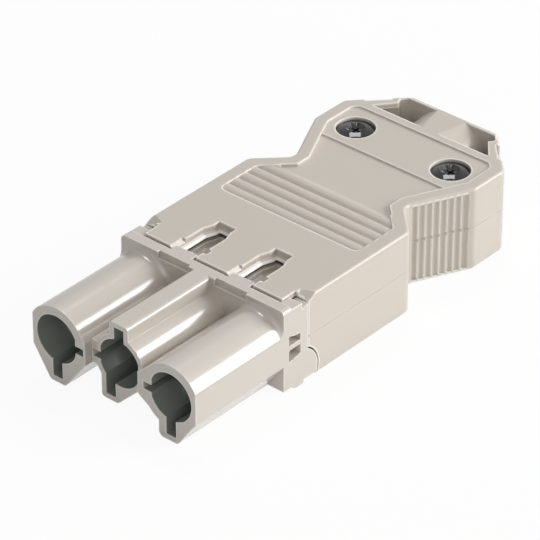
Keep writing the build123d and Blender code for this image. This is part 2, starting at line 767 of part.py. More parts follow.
def make_upper_shell():
    """Upper half of the strain-relief housing: a lid hinged behind the flange's bar."""
    parting = below_top(PARTING_DROP) + PARTING_GAP / 2
    front = from_face(SEAM_Y)
    ceiling = below_top(TOP_WALL)
    with BuildPart() as upper_shell:
        add(prism(housing_plan(0, front), parting, HEIGHT))
        top_face = upper_shell.faces().filter_by(Axis.Z).sort_by(Axis.Z)[-1]
        outer = top_face.outer_wire().edges().filter_by(lambda e: e.center().Y > front + 0.1)
        fillet(outer, radius=TOP_EDGE_RADIUS)
        add(prism(housing_plan(WALL, front - 1), parting - 1, ceiling), mode=Mode.SUBTRACT)
        inner_x = CORNER_X - 0.15
        add(block(-inner_x, inner_x, from_face(LID_FRONT), front + 1, ceiling, HEIGHT))
        rear_block = POCKET_START - REAR_BLOCK
        add(block(-HALF_WIDTH + 3, HALF_WIDTH - 3, from_face(rear_block), from_face(POCKET_START),
                  parting, HEIGHT - 0.5))
        top_pockets(parting)
        add(tunnel(parting, HEIGHT))
        for x in (-SCREW_X, SCREW_X):
            add(cylinder_up(x, from_face(SCREW_Y), SPIGOT_RADIUS, parting - SPIGOT_LENGTH, HEIGHT - 0.5))
        offsets = (-CLAMP_RIB_PITCH / 2, CLAMP_RIB_PITCH / 2)
        add(clamp_ribs(offsets, parting, HEIGHT - 0.5, CLAMP_RADIUS))
        top_fields(ceiling)
        grip_panel()
        add(flank_grooves(parting - 1, below_top(SIDE_RIB_MARGIN)), mode=Mode.SUBTRACT)
        lid_windows()
        hinge_parts()
        for x in (-SCREW_X, SCREW_X):
            seat = below_top(SCREW_HEAD_DROP + SCREW_HEAD_HEIGHT + WASHER_THICKNESS + SCREW_TRAVEL)
            add(cylinder_up(x, from_face(SCREW_Y), SCREW_BORE_RADIUS, seat, HEIGHT + 1), mode=Mode.SUBTRACT)
            add(cylinder_up(x, from_face(SCREW_Y), SCREW_RADIUS + 2 * RUNNING_GAP,
                            parting - SPIGOT_LENGTH - 1, HEIGHT), mode=Mode.SUBTRACT)
        add(cylinder_along(0, AXIS_Z, CABLE_RADIUS, from_face(rear_block) - 1, REAR_Y + 1), mode=Mode.SUBTRACT)
        corner_bevels()
        bevel_recesses()
    return upper_shell.part


def top_pockets(parting):
    """Open pockets beside the cable tunnel, with a thicker wall along their front half."""
    front = from_face(POCKET_START)
    rear = REAR_Y - POCKET_WALL
    with BuildSketch() as pocket:
        with BuildLine():
            Polyline(
                (0, front),
                (HALF_WIDTH - POCKET_INNER, front),
                (REAR_HALF_WIDTH + 0.3, from_face(POCKET_START + POCKET_STEP)),
                (REAR_HALF_WIDTH + 0.95, from_face(POCKET_START + POCKET_STEP) + 0.9),
                (REAR_HALF_WIDTH, rear),
                (0, rear),
                close=True,
            )
        make_face()
        outer = pocket.vertices().filter_by(lambda v: v.X > 1 and v.Y > front + POCKET_STEP + 0.5)
        fillet(outer, radius=POCKET_CORNER_RADIUS)
        mirror(about=Plane.YZ)
    add(prism(pocket.sketch, parting - 1, HEIGHT + 1), mode=Mode.SUBTRACT)


def bevel_recesses():
    """Shallow recesses in the upper edge of the rear bevels."""
    run = Vector(HALF_WIDTH - REAR_HALF_WIDTH, -REAR_BEVEL)
    middle = Vector((HALF_WIDTH + REAR_HALF_WIDTH) / 2, REAR_Y - REAR_BEVEL / 2)
    angle = math.degrees(math.atan2(run.Y, run.X))
    with BuildSketch() as recess:
        for side in (-1, 1):
            with Locations((side * middle.X, middle.Y)):
                Rectangle(RECESS_LENGTH, 2 * EDGE_RECESS, rotation=side * angle)
    add(prism(recess.sketch, HEIGHT - EDGE_RECESS_HEIGHT, HEIGHT + 1), mode=Mode.SUBTRACT)


def top_fields(ceiling):
    """Recessed fields of the top face, each a step lower towards the grip."""
    thick = HEIGHT - ceiling
    waist = field_plan(WAIST_FIELD_START, SCREW_FIELD_START)
    screws = field_plan(SCREW_FIELD_START, SCREW_FIELD_END)
    add(prism(waist, ceiling - 2 * FIELD_STEP, ceiling + thick / 2))
    add(prism(screws, ceiling - FIELD_STEP, ceiling + thick / 2))
    add(prism(waist, HEIGHT - 2 * FIELD_STEP, HEIGHT + 1), mode=Mode.SUBTRACT)
    add(prism(screws, HEIGHT - FIELD_STEP, HEIGHT + 1), mode=Mode.SUBTRACT)


def grip_panel():
    """Recessed panel of round ribs across the top face, for the thumb."""
    start = from_face(GRIP_START)
    end = from_face(WAIST_FIELD_START)
    floor = HEIGHT - GRIP_DEPTH
    rise = GRIP_DEPTH - GRIP_CREST
    radius = (GRIP_PITCH ** 2 / 4 + rise ** 2) / (2 * rise)
    with BuildSketch() as panel:
        add(housing_plan(GRIP_MARGIN, from_face(SEAM_Y)))
        with Locations((0, (start + end) / 2)):
            Rectangle(WIDTH, end - start, mode=Mode.INTERSECT)
        edge = HALF_WIDTH - GRIP_MARGIN - 0.01
        fillet(panel.vertices().filter_by(lambda v: abs(v.X) > edge), radius=FIELD_RADIUS)
    add(prism(panel.sketch, floor - TOP_WALL, floor))
    add(prism(panel.sketch, floor, HEIGHT + 1), mode=Mode.SUBTRACT)
    with BuildPart() as ribs:
        for i in range(GRIP_COUNT):
            y = start + GRIP_EDGE + (i + 0.5) * GRIP_PITCH
            with BuildSketch(along(-HALF_WIDTH)):
                with Locations((y, floor + rise - radius)):
                    Circle(radius)
                with Locations((y, floor - radius)):
                    Rectangle(3 * radius, 2 * radius, mode=Mode.SUBTRACT)
            extrude(amount=WIDTH)
        add(prism(panel.sketch, floor - 1, HEIGHT), mode=Mode.INTERSECT)
    add(ribs.part)


def lid_windows():
    """Windows of the lid, open towards the flange, with a sloped collar under the plate."""
    ceiling = below_top(TOP_WALL)
    front = from_face(TONGUE_END) + TONGUE_GAP
    low = ceiling - FUNNEL_STEP
    for centre in window_centres():
        add(prism(window_plan(centre, FUNNEL_RIM, front), low, ceiling + 0.1))
        plan = window_plan(centre, 0, from_face(LID_FRONT) - 1)
        add(prism(plan, ceiling, HEIGHT + 1), mode=Mode.SUBTRACT)
        with BuildSketch(Plane.XY.offset(ceiling + 0.01)) as mouth:
            add(window_plan(centre, 0, front - 0.1))
        with BuildSketch(Plane.XY.offset(low - 0.01)) as throat:
            add(window_plan(centre, -FUNNEL_STEP, front - 0.1))
        loft([mouth.sketch.face(), throat.sketch.face()], mode=Mode.SUBTRACT)
        corner = centre - WINDOW_WIDTH / 2
        with BuildSketch(across(front + NICK_LENGTH)) as nick:
            with BuildLine():
                Polyline((corner - NICK_WIDTH, HEIGHT), (corner + 0.1, HEIGHT),
                         (corner + 0.1, HEIGHT - NICK_WIDTH - 0.1), close=True)
            make_face()
        extrude(nick.sketch, amount=NICK_LENGTH + 1, mode=Mode.SUBTRACT)
        add(block(-corner + 2 * centre - 0.1, -corner + 2 * centre + NICK_WIDTH,
                  from_face(NOTCH_START), from_face(NOTCH_END), ceiling - 0.01, HEIGHT + 1),
            mode=Mode.SUBTRACT)


def hinge_parts():
    """Ears under the lid's front corners, with trunnions that turn in the flange."""
    ear_outer = CORNER_X - 0.15
    ear_y = from_face(HINGE_Y)
    ear_z = below_top(HINGE_DROP)
    for side in (-1, 1):
        x = side * (ear_outer - HINGE_EAR_THICKNESS / 2)
        with BuildSketch(along(x)) as shape:
            with Locations((ear_y, ear_z)):
                Circle(HINGE_EAR_RADIUS)
            with Locations((ear_y, (ear_z + HEIGHT - 0.3) / 2)):
                Rectangle(2 * HINGE_EAR_RADIUS, HEIGHT - 0.3 - ear_z)
        extrude(shape.sketch, amount=HINGE_EAR_THICKNESS / 2, both=True)
        with BuildSketch(along(side * (ear_outer - 0.1))) as shape:
            with Locations((ear_y, ear_z)):
                Circle(TRUNNION_RADIUS)
        reach = TRUNNION_LENGTH + 0.1
        extrude(shape.sketch, amount=reach if side > 0 else -reach)


def corner_bevels():
    """Slanted bevels on the lid's front corners, which clear the flange as it opens."""
    for side in (-1, 1):
        inner = Vector(side * CORNER_X, from_face(BEVEL_INNER_Y), HEIGHT)
        outer = Vector(side * HALF_WIDTH, from_face(BEVEL_OUTER_Y), HEIGHT)
        low = Vector(side * HALF_WIDTH, from_face(SEAM_Y), below_top(STEP_DROP - 0.05))
        edge = outer - inner
        normal = edge.cross(low - outer)
        if normal.Z < 0:
            normal = -normal
        bevel = Plane(origin=inner, x_dir=edge, z_dir=normal)
        with BuildSketch(bevel) as cut:
            with Locations((edge.length / 2 + 0.5, 0)):
                Rectangle(edge.length + 1, 6)
        extrude(cut.sketch, amount=3, mode=Mode.SUBTRACT)


def make_lower_shell():
    """Lower half of the strain-relief housing, which holds the cable and the nuts."""
    parting = below_top(PARTING_DROP) - PARTING_GAP / 2
    front = from_face(SEAM_Y)
    floor = WALL
    with BuildPart() as lower_shell:
        add(prism(housing_plan(0, front), 0, parting))
        under = lower_shell.faces().filter_by(Axis.Z).sort_by(Axis.Z)[0]
        outer = under.outer_wire().edges().filter_by(lambda e: e.center().Y > front + 0.1)
        fillet(outer, radius=UNDER_EDGE_RADIUS)
        add(prism(housing_plan(WALL, front - 1), floor, parting + 1), mode=Mode.SUBTRACT)
        rear_block = POCKET_START - REAR_BLOCK
        add(block(-HALF_WIDTH + 3, HALF_WIDTH - 3, from_face(rear_block), from_face(POCKET_START),
                  floor - 0.5, parting))
        add(tunnel(floor / 2, parting))
        seat_radius = SPIGOT_RADIUS + SPIGOT_GAP + SEAT_WALL
        for x in (-SCREW_X, SCREW_X):
            add(cylinder_up(x, from_face(SCREW_Y), seat_radius, floor - 0.5, parting))
        offsets = (-CLAMP_RIB_PITCH, 0.0, CLAMP_RIB_PITCH)
        add(clamp_ribs(offsets, floor - 0.5, parting, CLAMP_RADIUS))
        for x in (-SCREW_X, SCREW_X):
            nut_seat(x)
        add(cylinder_along(0, AXIS_Z, CABLE_RADIUS, from_face(rear_block) - 1, REAR_Y + 1), mode=Mode.SUBTRACT)
        add(flank_grooves(SIDE_RIB_MARGIN, parting + 1), mode=Mode.SUBTRACT)
        for side in (-1, 1):
            with BuildSketch(along(side * HALF_WIDTH)):
                with Locations((from_face(EAR_Y), below_top(EAR_DROP))):
                    Circle(EAR_RADIUS + EAR_GAP)
            extrude(amount=2 * WALL + 1, both=True, mode=Mode.SUBTRACT)
    return lower_shell.part


def spigot_floor():
    """Z of the floor under a screw spigot, which is also the nut's upper side."""
    return below_top(PARTING_DROP) + PARTING_GAP / 2 - SPIGOT_LENGTH - SPIGOT_GAP


def nut_seat(x):
    """Round seat for the lid's spigot, a six-sided nut pocket and room for the screw's tip."""
    y = from_face(SCREW_Y)
    pocket_floor = spigot_floor() - NUT_THICKNESS
    add(cylinder_up(x, y, SPIGOT_RADIUS + SPIGOT_GAP, spigot_floor(), HEIGHT), mode=Mode.SUBTRACT)
    with BuildSketch(Plane.XY.offset(pocket_floor)) as shape:
        with Locations((x, y)):
            RegularPolygon(NUT_FLATS / 2 + NUT_GAP, 6, major_radius=False)
    extrude(shape.sketch, amount=NUT_THICKNESS + 0.5, mode=Mode.SUBTRACT)
    add(cylinder_up(x, y, SCREW_RADIUS + 2 * RUNNING_GAP, WALL, pocket_floor + 0.5), mode=Mode.SUBTRACT)


def make_nut(x):
    """Six-sided nut in the lower shell."""
    low = spigot_floor() - NUT_THICKNESS
    with BuildPart() as clamp_nut:
        with BuildSketch(Plane.XY.offset(low)):
            with Locations((x, from_face(SCREW_Y))):
                RegularPolygon(NUT_FLATS / 2, 6, major_radius=False)
                Circle(SCREW_RADIUS + RUNNING_GAP, mode=Mode.SUBTRACT)
        extrude(amount=NUT_THICKNESS)
    return clamp_nut.part


def make_clamp_screw(x):
    """Strain-relief screw with a cross recess, backed off as delivered."""
    y = from_face(SCREW_Y)
    head_top = below_top(SCREW_HEAD_DROP)
    head_low = head_top - SCREW_HEAD_HEIGHT
    tip = below_top(PARTING_DROP) + PARTING_GAP / 2 - SPIGOT_LENGTH + 0.1
    with BuildPart() as clamp_screw:
        add(cylinder_up(x, y, SCREW_HEAD_RADIUS, head_low, head_top))
        rim = clamp_screw.edges().filter_by(GeomType.CIRCLE).group_by(Axis.Z)[-1]
        fillet(rim, radius=0.15)
        add(cylinder_up(x, y, SCREW_RADIUS, tip, head_low))
        with BuildSketch(Plane.XY.offset(head_top)) as dish_rim:
            with Locations((x, y)):
                Circle(SCREW_DISH_RADIUS)
        with BuildSketch(Plane.XY.offset(head_top - SCREW_DISH_DEPTH)) as dish_floor:
            with Locations((x, y)):
                Circle(SCREW_DISH_FLOOR)
        loft([dish_rim.sketch.face(), dish_floor.sketch.face()], mode=Mode.SUBTRACT)
        arm = 2 * SCREW_DISH_FLOOR + 1.0
        with BuildSketch(Plane.XY.offset(head_top - SCREW_DISH_DEPTH / 2)):
            with Locations((x, y)):
                Rectangle(arm, RECESS_WIDTH)
                Rectangle(RECESS_WIDTH, arm)
        extrude(amount=-RECESS_DEPTH, taper=12, mode=Mode.SUBTRACT)
    return clamp_screw.part


def make_washer(x):
    """Captive washer that rides under the screw's head."""
    top = below_top(SCREW_HEAD_DROP + SCREW_HEAD_HEIGHT)
    with BuildPart() as clamp_washer:
        with BuildSketch(Plane.XY.offset(top - WASHER_THICKNESS)):
            with Locations((x, from_face(SCREW_Y))):
                Circle(SCREW_HEAD_RADIUS)
                Circle(SCREW_RADIUS + RUNNING_GAP, mode=Mode.SUBTRACT)
        extrude(amount=WASHER_THICKNESS)
    return clamp_washer.part


def save(part, label):
    """Name a finished piece and write it."""
    part.label = label
    export_step(part, f"parts/{label}.step")


def main():
    """Make and write every piece of the connector."""
    os.makedirs("parts", exist_ok=True)
    save(make_contact_housing(), "contact_housing")
    save(make_upper_shell(), "upper_shell")
    save(make_lower_shell(), "lower_shell")
    for pole, x in POLES.items():
        lead = EARTH_PIN_LEAD if pole == "middle" else 0.0
        save(make_pin(x, lead), f"contact_pin_{pole}")
        save(make_terminal(x), f"terminal_{pole}")
        save(make_terminal_screw(x), f"terminal_screw_{pole}")
        save(make_pressure_plate(x), f"pressure_plate_{pole}")
    for side, x in (("left", -SCREW_X), ("right", SCREW_X)):
        save(make_clamp_screw(x), f"clamp_screw_{side}")
        save(make_washer(x), f"clamp_washer_{side}")
        save(make_nut(x), f"clamp_nut_{side}")


main()
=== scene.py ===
"""Looks of a three-pole installation connector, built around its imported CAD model."""
import logging
import math
from dataclasses import dataclass, field
from enum import Enum
from typing import Any, Iterable

import bmesh
import bpy
from mathutils import Matrix, Vector


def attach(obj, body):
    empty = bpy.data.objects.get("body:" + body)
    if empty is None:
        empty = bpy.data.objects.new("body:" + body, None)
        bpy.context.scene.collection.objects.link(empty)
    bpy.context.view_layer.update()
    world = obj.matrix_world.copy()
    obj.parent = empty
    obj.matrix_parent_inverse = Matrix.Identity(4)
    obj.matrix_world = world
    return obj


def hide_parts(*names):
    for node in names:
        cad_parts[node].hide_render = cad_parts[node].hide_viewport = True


Colour = tuple[float, float, float]
LOG = logging.getLogger("connector")
MM = 0.001
FULL_TURN = 2.0 * math.pi
WHITE: Colour = (1.0, 1.0, 1.0)
# Painted shade: the dark colour laid into the bores and key slots where shade falls.
PAINTED_BORE_SHADE = (0.25, 0.27, 0.24, 1.0)
SHARP_DEGREES = 32.0
TURNING_STEPS = 96
WELD_MM = 0.001
SLIVER_MM = 0.002
OUTER_MOUTH_MM = -36.6
MIDDLE_MOUTH_MM = -35.35
BORE_FLOOR_MM = -18.7


class Drive(Enum):
    """Recess that a screwdriver fits."""

    CROSS = "cross"
    SLOT = "slot"


class Signal:
    """A number socket that takes part in plain arithmetic."""

    def __init__(self, graph: "Graph", socket: bpy.types.NodeSocket) -> None:
        """Wrap a socket.

        Args:
            graph: The graph that owns the socket.
            socket: An output socket that carries a number.
        """
        self.graph = graph
        self.socket = socket

    def _with(self, operation: str, first: Any, second: Any) -> "Signal":
        """Add one Math node.

        Args:
            operation: The Math node's operation.
            first: The first value or signal.
            second: The second value or signal.

        Returns:
            The result as a signal.
        """
        made = self.graph.node("ShaderNodeMath", {"operation": operation}, {0: first, 1: second})
        return Signal(self.graph, made.outputs[0])

    def __add__(self, other: Any) -> "Signal":
        """Add a value or signal."""
        return self._with("ADD", self, other)

    def __mul__(self, other: Any) -> "Signal":
        """Multiply by a value or signal."""
        return self._with("MULTIPLY", self, other)

    def __sub__(self, other: Any) -> "Signal":
        """Take away a value or signal."""
        return self._with("SUBTRACT", self, other)

    def __rsub__(self, other: Any) -> "Signal":
        """Take this signal away from a value."""
        return self._with("SUBTRACT", other, self)

    def __lt__(self, other: Any) -> "Signal":
        """Give 1 where this is below the other, otherwise 0."""
        return self._with("LESS_THAN", self, other)

    def __gt__(self, other: Any) -> "Signal":
        """Give 1 where this is above the other, otherwise 0."""
        return self._with("GREATER_THAN", self, other)

    def __or__(self, other: Any) -> "Signal":
        """Take the larger of two signals."""
        return self._with("MAXIMUM", self, other)


class Graph:
    """Node tree of one material or of the world."""

    def __init__(self, owner: bpy.types.Material | bpy.types.World) -> None:
        """Start with an empty tree.

        Args:
            owner: The material or world that shows the tree.
        """
        self.owner = owner
        owner.use_nodes = True
        self.tree = owner.node_tree
        self.tree.nodes.clear()

    @classmethod
    def material(cls, name: str) -> "Graph":
        """Start a new material.

        Args:
            name: The material's name.

        Returns:
            Its graph.
        """
        return cls(bpy.data.materials.new(name))

    def node(self, kind: str, settings: dict[str, Any], values: dict[Any, Any]) -> bpy.types.Node:
        """Add a node.

        Args:
            kind: The node's type name.
            settings: Properties of the node, set first; "stops" fills a colour ramp.
            values: Input name or index to a value, a socket or a signal.

        Returns:
            The new node.
        """
        made = self.tree.nodes.new(kind)
        for key, value in settings.items():
            if key == "stops":
                self._fill_ramp(made.color_ramp, value)
            else:
                setattr(made, key, value)
        for key, value in values.items():
            if isinstance(value, Signal):
                self.tree.links.new(value.socket, made.inputs[key])
            elif isinstance(value, bpy.types.NodeSocket):
                self.tree.links.new(value, made.inputs[key])
            else:
                made.inputs[key].default_value = value
        return made

    @staticmethod
    def _fill_ramp(ramp: bpy.types.ColorRamp, stops: list[tuple[float, float]]) -> None:
        """Set a ramp's grey stops.

        Args:
            ramp: The ramp to fill.
            stops: Position and grey value of each stop.
        """
        while len(ramp.elements) < len(stops):
            ramp.elements.new(0.5)
        for element, (place, grey) in zip(ramp.elements, stops):
            element.position = place
            element.color = (grey, grey, grey, 1.0)

    def place(self) -> tuple[Signal, Signal, Signal]:
        """Split the object's own coordinates.

        Returns:
            X, Y and Z in metres.
        """
        found = self.node("ShaderNodeTexCoord", {}, {})
        split = self.node("ShaderNodeSeparateXYZ", {}, {0: found.outputs["Object"]})
        return tuple(Signal(self, socket) for socket in split.outputs)

    def noise(self, scale: float, detail: float = 2.0, stretch: Colour = (1.0, 1.0, 1.0)) -> Signal:
        """Noise on the object's own coordinates.

        Args:
            scale: Noise scale, in features per metre.
            detail: Octaves of the noise.
            stretch: Scale along each axis.

        Returns:
            The noise, from 0 to 1.
        """
        place = self.node("ShaderNodeTexCoord", {}, {})
        mapped = self.node("ShaderNodeMapping", {}, {"Vector": place.outputs["Object"], "Scale": stretch})
        made = self.node(
            "ShaderNodeTexNoise", {}, {"Vector": mapped.outputs[0], "Scale": scale, "Detail": detail}
        )
        return Signal(self, made.outputs[0])

    def ramp(self, signal: Signal, stops: list[tuple[float, float]]) -> Signal:
        """Pass a signal through a ramp of greys.

        Args:
            signal: The input.
            stops: Position and grey value of each stop.

        Returns:
            The ramp's value.
        """
        made = self.node("ShaderNodeValToRGB", {"stops": stops}, {0: signal})
        return Signal(self, made.outputs[0])

    def tint(self, low: Colour, high: Colour, mask: Signal) -> bpy.types.NodeSocket:
        """Blend two colours.

        Args:
            low: Colour where the mask is 0.
            high: Colour where the mask is 1.
            mask: The blend.

        Returns:
            The colour socket.
        """
        return self.blend((*low, 1.0), (*high, 1.0), mask)

    def blend(self, low: Any, high: Any, mask: Signal) -> bpy.types.NodeSocket:
        """Blend two colours, each a socket or four values.

        Args:
            low: Colour where the mask is 0.
            high: Colour where the mask is 1.
            mask: The blend.

        Returns:
            The colour socket.
        """
        made = self.node("ShaderNodeMix", {"data_type": "RGBA"}, {0: mask, 6: low, 7: high})
        return made.outputs[2]

    def relief(self, height: Signal, strength: float, depth: float, edge: float) -> bpy.types.NodeSocket:
        """Bump over slightly rounded edges.

        Args:
            height: The relief, from 0 to 1.
            strength: How much of it shows.
            depth: Its depth in metres.
            edge: Radius of the rounded edges in metres.

        Returns:
            The normal socket.
        """
        rounded = self.node("ShaderNodeBevel", {"samples": 6}, {"Radius": edge})
        made = self.node(
            "ShaderNodeBump", {},
            {"Strength": strength, "Distance": depth, "Height": height, "Normal": rounded.outputs[0]},
        )
        return made.outputs[0]

    def ridges(self, reach: float) -> Signal:
        """Find the convex edges of a thick wall.

        Args:
            reach: How far from an edge the result fades out, in metres.

        Returns:
            About a half on a square edge, and 0 on a flat or hollow place.
        """
        settings = {"inside": True, "only_local": True, "samples": 12}
        node = self.node("ShaderNodeAmbientOcclusion", settings, {"Distance": reach})
        return 1.0 - Signal(self, node.outputs["AO"])

    def close(self, varying: dict[str, Any], fixed: dict[str, Any]) -> bpy.types.Material:
        """Add the shader and the output.

        Args:
            varying: Shader inputs that change over the surface.
            fixed: Shader inputs that are the same all over.

        Returns:
            The finished material.
        """
        shader = self.node("ShaderNodeBsdfPrincipled", {}, {**fixed, **varying})
        self.node("ShaderNodeOutputMaterial", {}, {"Surface": shader.outputs[0]})
        return self.owner


@dataclass(frozen=True)
class Bore:
    """Inside of one pole tube, where shade is painted into the moulding's colour."""

    centre_mm: float
    front_mm: float = OUTER_MOUTH_MM
    axis_mm: float = 7.3
    reach_mm: float = 4.12

    def mask(self, place: tuple[Signal, Signal, Signal]) -> Signal:
        """Find the surfaces inside the tube.

        Args:
            place: X, Y and Z in metres.

        Returns:
            1 inside the tube, otherwise 0.
        """
        x, y, z = place
        across = x - self.centre_mm * MM
        up = z - self.axis_mm * MM
        near = (across * across + up * up) < (self.reach_mm * MM) ** 2
        return near * (y > self.front_mm * MM) * (y < BORE_FLOOR_MM * MM)


@dataclass(frozen=True)
class KeySlot:
    """Slot beside a bore, between two places in X and in Z, where shade is painted into the colour."""

    low_mm: tuple[float, float]
    high_mm: tuple[float, float]
    front_mm: float = OUTER_MOUTH_MM

    def mask(self, place: tuple[Signal, Signal, Signal]) -> Signal:
        """Find the surfaces of the slot.

        Args:
            place: X, Y and Z in metres.

        Returns:
            1 in the slot, otherwise 0.
        """
        x, y, z = place
        inside = (x > self.low_mm[0] * MM) * (x < self.high_mm[0] * MM)
        inside = inside * (z > self.low_mm[1] * MM) * (z < self.high_mm[1] * MM)
        return inside * (y > self.front_mm * MM) * (y < BORE_FLOOR_MM * MM)


@dataclass(frozen=True)
class MouldedPlastic:
    """Pale injection-moulded plastic: fine grain, soft edges, a painted highlight on convex edges and
    painted shade in its hollows.
    """

    name: str
    colour: Colour
    roughness: float
    grain: float = 0.10
    edge_mm: float = 0.10
    gloss: float = 0.5
    highlight_reach_mm: float = 0.28
    edge_highlight_share: float = 0.5
    seam_mm: float = 0.0
    seam_clear: float = 0.26
    # Colour of the painted highlight on convex edges.
    edge_highlight_tone: tuple[float, float, float, float] = (0.90, 0.87, 0.82, 1.0)
    hollows: tuple[Bore | KeySlot, ...] = ()
    grain_depth_mm: float = 0.012
    refraction: float = 1.49

    def build(self) -> bpy.types.Material:
        """Make the material.

        Returns:
            The material.
        """
        graph = Graph.material(self.name)
        flow = graph.noise(45.0, 1.0, (1.0, 0.35, 1.0))
        grain = graph.noise(5200.0, 2.0)
        haze = graph.noise(110.0, 1.0)
        pale = tuple(min(1.0, channel * 1.004) for channel in self.colour)
        deep = tuple(channel * 0.994 for channel in self.colour)
        colour = graph.tint(deep, pale, graph.ramp(flow, [(0.2, 0.0), (0.8, 1.0)]))
        # Painted highlight: convex edges take a paler colour that stands in for the glints along them.
        edge_highlight = graph.ramp(graph.ridges(self.highlight_reach_mm * MM), [(0.1, 0.0), (0.36, self.edge_highlight_share)])
        if self.seam_mm:
            edge_highlight = edge_highlight * (1.0 - self._seam(graph))
        colour = graph.blend(colour, self.edge_highlight_tone, edge_highlight)
        # Painted shade: darken the bores and key slots.
        if self.hollows:
            colour = self._shade(graph, colour)
        rough = graph.ramp(haze, [(0.1, self.roughness * 0.97), (0.9, self.roughness * 1.03)])
        normal = graph.relief(grain, self.grain, self.grain_depth_mm * MM, self.edge_mm * MM)
        return graph.close(
            {"Base Color": colour, "Roughness": rough, "Normal": normal},
            {"Specular IOR Level": self.gloss, "IOR": self.refraction},
        )

    def _seam(self, graph: Graph) -> Signal:
        """Find the band round the seam, which gets no painted highlight.

        Args:
            graph: The graph to add to.

        Returns:
            1 in the band, otherwise 0.
        """
        height = graph.place()[2]
        low, high = ((self.seam_mm + side * self.seam_clear) * MM for side in (-1.0, 1.0))
        return (height > low) * (height < high)

    def _shade(self, graph: Graph, colour: bpy.types.NodeSocket) -> bpy.types.NodeSocket:
        """Paint shade into the hollows, darkening them where shade falls.

        Args:
            graph: The graph to add to.
            colour: The colour outside the hollows.

        Returns:
            The colour socket.
        """
        place = graph.place()
        inside = self.hollows[0].mask(place)
        for hollow in self.hollows[1:]:
            inside = inside | hollow.mask(place)
        return graph.blend(colour, PAINTED_BORE_SHADE, inside)


@dataclass(frozen=True)
class PlatedMetal:
    """Metal with a turned or drawn finish and faint wear."""

    name: str
    colour: Colour
    roughness: float
    streak: Colour = (1.0, 1.0, 14.0)
    wear: float = 0.5
    edge_mm: float = 0.05
    relief_mm: float = 0.01

    def build(self) -> bpy.types.Material:
        """Make the material.

        Returns:
            The material.
        """
        graph = Graph.material(self.name)
        drawn = graph.noise(1500.0, 3.0, self.streak)
        cloud = graph.noise(300.0, 4.0)
        dull = tuple(channel * (1.0 - 0.22 * self.wear) for channel in self.colour)
        colour = graph.tint(dull, self.colour, graph.ramp(cloud, [(0.35, 0.0), (0.6, 1.0)]))
        rough = graph.ramp(drawn, [(0.3, self.roughness * 0.75), (0.7, self.roughness * 1.35)])
        normal = graph.relief(drawn, 0.12, self.relief_mm * MM, self.edge_mm * MM)
        return graph.close({"Base Color": colour, "Roughness": rough, "Normal": normal}, {"Metallic": 1.0})


@dataclass(frozen=True)
class BlackenedSteel:
    """Glossy black finish of the strain-relief screws, with faint paler scratches."""

    name: str
    colour: Colour = (0.004, 0.004, 0.0045)
    scratched: Colour = (0.05, 0.05, 0.053)
    roughness: float = 0.05
    edge_mm: float = 0.03
    relief_mm: float = 0.01

    def build(self) -> bpy.types.Material:
        """Make the material.

        Returns:
            The material.
        """
        graph = Graph.material(self.name)
        scratch = graph.noise(2600.0, 4.0, (1.0, 5.0, 1.0))
        cloud = graph.noise(700.0, 3.0)
        bare = graph.ramp(scratch * cloud, [(0.34, 0.0), (0.46, 1.0)])
        colour = graph.tint(self.colour, self.scratched, bare)
        rough = graph.ramp(cloud, [(0.3, self.roughness * 0.7), (0.7, self.roughness * 1.6)])
        normal = graph.relief(scratch, 0.03, self.relief_mm * MM, self.edge_mm * MM)
        return graph.close(
            {"Base Color": colour, "Roughness": rough, "Normal": normal},
            {"Metallic": 0.0, "Specular IOR Level": 0.5, "IOR": 1.5},
        )


def dress(nodes: Iterable[str], material: bpy.types.Material) -> None:
    """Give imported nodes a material.

    Args:
        nodes: Names of the nodes.
        material: The finish they take.
    """
    for name in nodes:
        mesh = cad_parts[name].data
        mesh.materials.clear()
        mesh.materials.append(material)
        LOG.info("dressed %s", name)


def piece_from(work: bmesh.types.BMesh, name: str, material: bpy.types.Material) -> bpy.types.Object:
    """Turn a finished bmesh into an object at the origin.

    Args:
        work: The mesh; it is freed.
        name: The new object's name.
        material: The finish it takes.

    Returns:
        The new object.
    """
    mesh = bpy.data.meshes.new(name)
    work.to_mesh(mesh)
    work.free()
    made = bpy.data.objects.new(name, mesh)
    bpy.context.scene.collection.objects.link(made)
    mesh.materials.append(material)
    return made


def carved(work: bmesh.types.BMesh, cutter: bmesh.types.BMesh) -> bmesh.types.BMesh:
    """Cut one closed mesh out of another.

    Args:
        work: The mesh that is cut; it is freed.
        cutter: The mesh that cuts; it is freed.

    Returns:
        The remaining mesh.
    """
    halves = []
    for name, part in (("cut_body", work), ("cut_tool", cutter)):
        mesh = bpy.data.meshes.new(name)
        part.to_mesh(mesh)
        part.free()
        halves.append(bpy.data.objects.new(name, mesh))
        bpy.context.scene.collection.objects.link(halves[-1])
    body, tool = halves
    cut = body.modifiers.new("cut", "BOOLEAN")
    cut.operation = "DIFFERENCE"
    cut.solver = "EXACT"
    cut.use_self = True
    cut.object = tool
    bpy.context.view_layer.update()
    result = bmesh.new()
    result.from_object(body, bpy.context.evaluated_depsgraph_get())
    bmesh.ops.dissolve_degenerate(result, dist=SLIVER_MM * MM, edges=result.edges)
    for half in halves:
        mesh = half.data
        bpy.data.objects.remove(half)
        bpy.data.meshes.remove(mesh)
    return result


